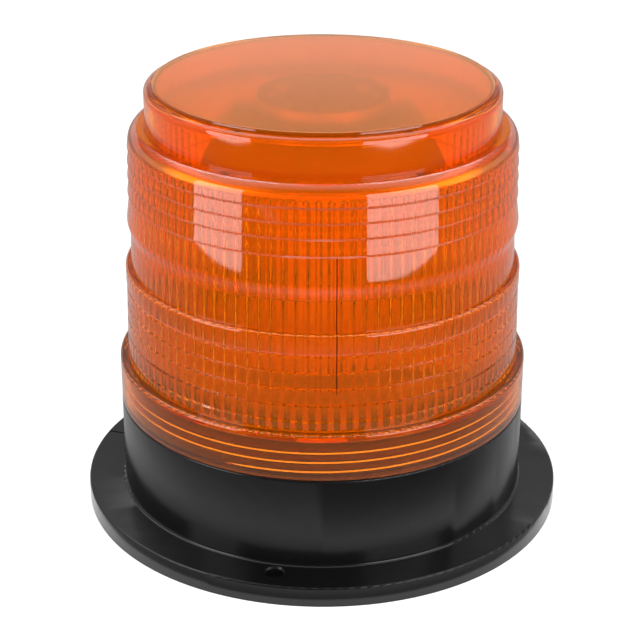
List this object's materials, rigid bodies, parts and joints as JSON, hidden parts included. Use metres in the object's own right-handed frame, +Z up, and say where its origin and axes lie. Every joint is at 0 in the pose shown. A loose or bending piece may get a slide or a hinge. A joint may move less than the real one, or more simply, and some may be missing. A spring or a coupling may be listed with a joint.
{
  "type": "rotating beacon",
  "caption": "Amber rotating warning beacon: ribbed screw-on lens with a flat top on a glossy black round base with a screw flange; a motor and gears turn a reflector round the lamp.",
  "frame": {"origin": "centre of the base flange's underside", "axes": "+Z up along the lens and rotor axis, -Y towards the front, +X to the right"},
  "size_m": [0.15, 0.15, 0.1352],
  "materials": {
    "base_black": "gloss",
    "lens_amber": "translucent gloss",
    "rubber_black": "satin",
    "zinc_plate": "zinc plated",
    "steel": "bright",
    "motor_steel": "satin",
    "brass": "satin",
    "bronze": "sintered",
    "acetal_white": "satin",
    "black_plastic": "matte",
    "cream_plastic": "satin",
    "chromed_plastic": "mirror",
    "aluminium": "satin",
    "bulb_metal": "nickel plated",
    "quartz": "clear",
    "tungsten": "dull",
    "lead_red": "satin",
    "lead_black": "satin",
    "lead_blue": "satin"
  },
  "bodies": {
    "base": {"base_housing": "base_black", "cable_grommet": "rubber_black", "terminal_block": "cream_plastic", "terminal_screws": "brass", "chassis_plate": "zinc_plate", "chassis_screws": "steel", "motor_can": "motor_steel", "motor_end_cap": "black_plastic", "motor_terminals": "brass", "motor_screws": "steel", "idler_axle": "steel", "idler_spacer": "brass", "idler_clip": "steel", "centre_post": "steel", "thrust_washer": "bronze", "post_circlip": "steel", "lamp_holder": "cream_plastic", "bulb_clip": "steel", "bulb_base": "bulb_metal", "bulb_glass": "quartz", "bulb_filament": "tungsten", "lamp_lead": "lead_red", "motor_lead_live": "lead_blue", "motor_lead_return": "lead_black"},
    "rotor": {"rotor_gear": "acetal_white", "bearing_bush": "bronze", "reflector": "chromed_plastic", "reflector_bracket": "zinc_plate", "reflector_screws": "steel", "heat_shield": "aluminium", "shield_posts": "aluminium"},
    "idler": {"idler_gear": "acetal_white"},
    "motor_rotor": {"motor_shaft": "steel", "motor_pinion": "brass"},
    "seal": {"lens_seal": "rubber_black"},
    "lens": {"lens": "lens_amber"}
  },
  "joints": [
    {"name": "rotor_turn", "type": "hinge", "parent": "base", "child": "rotor", "pos_m": [0, 0, 0.0506], "axis": [0, 0, 1], "continuous": true},
    {"name": "idler_turn", "type": "hinge", "parent": "base", "child": "idler", "pos_m": [0.0312, 0, 0.0456], "axis": [0, 0, 1], "continuous": true},
    {"name": "motor_turn", "type": "hinge", "parent": "base", "child": "motor_rotor", "pos_m": [0.0222, 0.01559, 0.0456], "axis": [0, 0, 1], "continuous": true},
    {"name": "lens_lift", "type": "slide", "parent": "base", "child": "seal", "axis": [0, 0, 1], "range_m": [0, 0.0091]},
    {"name": "lens_turn", "type": "hinge", "parent": "seal", "child": "lens", "pos_m": [0, 0, 0.0359], "axis": [0, 0, 1], "range_deg": [0, 1080]}
  ],
  "couplings": [
    {"joint": "idler_turn", "follows": "rotor_turn", "ratio": -4.5714},
    {"joint": "motor_turn", "follows": "rotor_turn", "ratio": 18.286},
    {"joint": "lens_lift", "follows": "lens_turn", "m_per_rad": 0.00047746}
  ]
}
